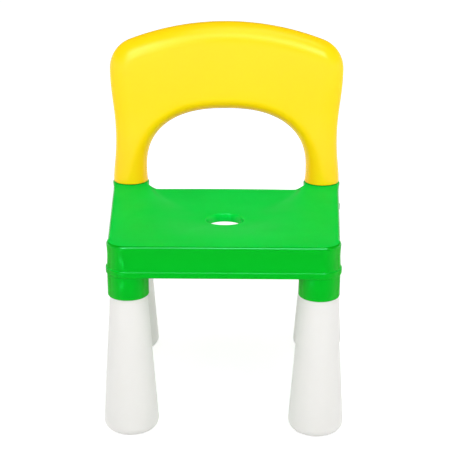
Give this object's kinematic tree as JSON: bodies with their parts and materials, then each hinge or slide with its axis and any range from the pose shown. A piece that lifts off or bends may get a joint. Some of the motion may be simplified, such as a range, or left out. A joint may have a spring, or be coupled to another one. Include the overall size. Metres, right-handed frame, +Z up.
{
  "type": "child's plastic chair",
  "caption": "Push-together plastic chair for a small child: dished seat moulding with a round hand hole, hollow arch backrest and tapered hollow legs.",
  "frame": {"origin": "on the floor, under the middle of the box round the whole chair; the middle of the four legs is within a millimetre or two of it", "axes": "+Z up, +X across the chair (the chair is symmetric left to right), the front of the chair faces -Y"},
  "size_m": [0.3028, 0.2828, 0.425],
  "materials": {
    "seat_plastic": "moulded, satin to gloss, grass green",
    "backrest_plastic": "blow-moulded, satin to gloss, lemon yellow",
    "leg_plastic": "moulded, satin to gloss, off-white"
  },
  "bodies": {
    "seat": {"seat": "seat_plastic"},
    "backrest": {"backrest": "backrest_plastic"},
    "front_left_leg": {"front_left_leg": "leg_plastic"},
    "front_right_leg": {"front_right_leg": "leg_plastic"},
    "rear_left_leg": {"rear_left_leg": "leg_plastic"},
    "rear_right_leg": {"rear_right_leg": "leg_plastic"}
  },
  "joints": [
    {"name": "backrest_lift", "type": "slide", "parent": "seat", "child": "backrest", "axis": [0, 0, 1], "range_m": [0, 0.035]},
    {"name": "front_left_leg_pull", "type": "slide", "parent": "seat", "child": "front_left_leg", "axis": [0, 0, -1], "range_m": [0, 0.035]},
    {"name": "front_right_leg_pull", "type": "slide", "parent": "seat", "child": "front_right_leg", "axis": [0, 0, -1], "range_m": [0, 0.035]},
    {"name": "rear_left_leg_pull", "type": "slide", "parent": "seat", "child": "rear_left_leg", "axis": [0, 0, -1], "range_m": [0, 0.035]},
    {"name": "rear_right_leg_pull", "type": "slide", "parent": "seat", "child": "rear_right_leg", "axis": [0, 0, -1], "range_m": [0, 0.035]}
  ]
}
